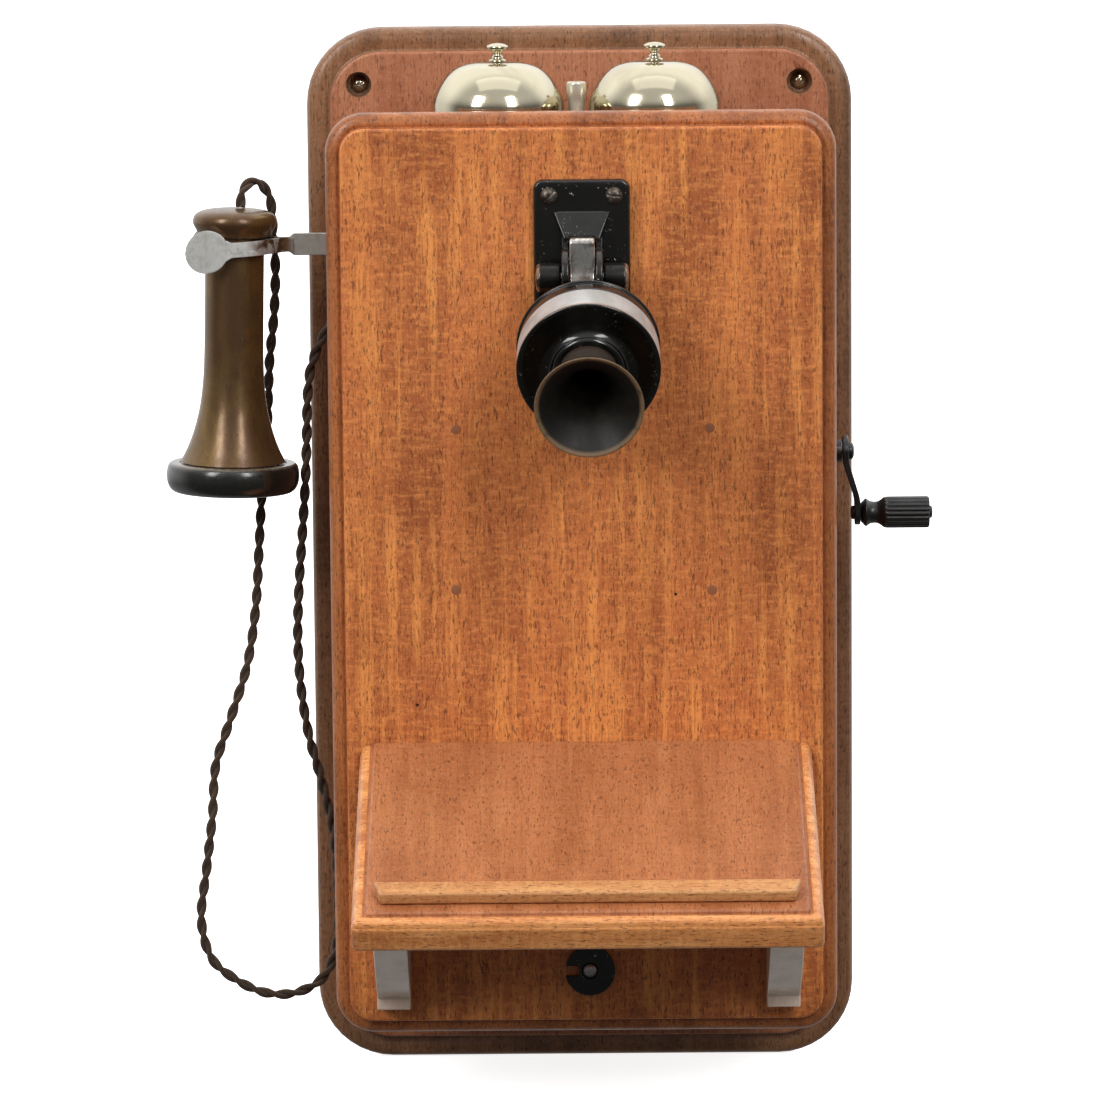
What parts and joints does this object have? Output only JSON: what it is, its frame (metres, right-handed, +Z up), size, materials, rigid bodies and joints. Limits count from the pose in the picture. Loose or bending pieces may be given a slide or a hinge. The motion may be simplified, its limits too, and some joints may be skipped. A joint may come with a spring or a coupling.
{
  "type": "wall crank telephone",
  "caption": "Wooden wall telephone with hand crank, paired gongs, hook receiver on a cord, tilting transmitter and a sloping writing shelf on its hinged door.",
  "frame": {"origin": "middle of the backboard's back face, which lies flat against the wall", "axes": "+X to the object's right as it is looked at from the front, +Y into the wall, +Z up; the door faces -Y"},
  "size_m": [0.3697, 0.2725, 0.514],
  "materials": {
    "walnut": "satin varnish",
    "case_wood": "satin varnish",
    "pale_wood": "polished",
    "nickel": "polished nickel",
    "steel": "plain",
    "brass": "satin",
    "bronze": "dark bronzed, polished",
    "japan": "black japan, gloss",
    "ebonite": "polished",
    "magnet_red": "matte",
    "winding": "wound thread",
    "braid": "twisted braid"
  },
  "bodies": {
    "case": {"backboard": "walnut", "wall_screw_left": "nickel", "wall_screw_right": "nickel", "case_left_side": "case_wood", "case_right_side": "case_wood", "case_top": "case_wood", "case_bottom": "case_wood", "magneto_shelf": "case_wood", "gong_left": "nickel", "gong_right": "nickel", "gong_post_left": "steel", "gong_post_right": "steel", "gong_screw_left": "nickel", "gong_screw_right": "nickel", "ringer_frame": "brass", "ringer_coil_left": "winding", "ringer_coil_right": "winding", "magneto_frame": "brass", "magneto_magnets": "magnet_red", "crank_bush": "brass", "hook_bracket": "brass", "contact_springs": "brass", "receiver_cord": "braid", "cord_bush": "ebonite", "induction_coil": "winding", "hinge_case_upper": "brass", "hinge_case_lower": "brass"},
    "door": {"door_panel": "walnut", "shelf_board": "walnut", "shelf_lip": "walnut", "shelf_bracket_left": "pale_wood", "shelf_bracket_right": "pale_wood", "hinge_door_upper": "brass", "hinge_door_lower": "brass", "transmitter_bracket": "japan", "bracket_screw_1": "steel", "bracket_screw_2": "steel", "bracket_screw_3": "steel", "bracket_screw_4": "steel", "pivot_bolt": "japan"},
    "lock": {"lock_disc": "japan", "lock_screw": "steel"},
    "transmitter": {"transmitter_arm": "nickel", "transmitter_back": "japan", "transmitter_band": "nickel", "transmitter_face": "japan", "mouthpiece": "ebonite"},
    "crank": {"crank_shaft": "steel", "drive_gear": "brass", "crank_arm": "japan", "grip_spindle": "japan"},
    "grip": {"crank_grip": "ebonite"},
    "rotor": {"magneto_rotor": "steel"},
    "hammer": {"ringer_armature": "steel", "clapper": "nickel"},
    "hook": {"hook_lever": "nickel"},
    "receiver": {"receiver_shell": "bronze", "receiver_head": "bronze", "receiver_earcap": "ebonite", "receiver_diaphragm": "steel"}
  },
  "joints": [
    {"name": "door_hinge", "type": "hinge", "parent": "case", "child": "door", "pos_m": [0.1126, -0.1114, 0], "axis": [0, 0, 1], "range_deg": [0, 90]},
    {"name": "lock_turn", "type": "hinge", "parent": "door", "child": "lock", "pos_m": [0.0018, -0.13, -0.1876], "axis": [0, 1, 0], "range_deg": [0, 90]},
    {"name": "transmitter_tilt", "type": "hinge", "parent": "door", "child": "transmitter", "pos_m": [0.0005, -0.15, 0.1464], "axis": [1, 0, 0], "range_deg": [-25, 15]},
    {"name": "crank_turn", "type": "hinge", "parent": "case", "child": "crank", "pos_m": [0.1, -0.068, 0.0538], "axis": [1, 0, 0], "continuous": true},
    {"name": "rotor_spin", "type": "hinge", "parent": "case", "child": "rotor", "pos_m": [0.05, -0.068, 0.0224], "axis": [1, 0, 0], "continuous": true},
    {"name": "grip_spin", "type": "hinge", "parent": "crank", "child": "grip", "pos_m": [0.15, -0.068, 0.0238], "axis": [1, 0, 0], "continuous": true},
    {"name": "clapper_swing", "type": "hinge", "parent": "case", "child": "hammer", "pos_m": [-0.0015, -0.075, 0.152], "axis": [0, 1, 0], "range_deg": [-0.6, 0.6], "stiffness_Nm_per_rad": 0.2},
    {"name": "receiver_lift", "type": "slide", "parent": "case", "child": "receiver", "axis": [-0.7071, 0, 0.7071], "range_m": [0, 0.08], "deforming": ["receiver_cord"]},
    {"name": "hook_rise", "type": "hinge", "parent": "case", "child": "hook", "pos_m": [-0.088, -0.08, 0.1572], "axis": [0, 1, 0], "range_deg": [0, 8.1]}
  ],
  "couplings": [
    {"joint": "rotor_spin", "follows": "crank_turn", "ratio": -4},
    {"joint": "hook_rise", "follows": "receiver_lift", "rad_per_m": 1.745}
  ]
}
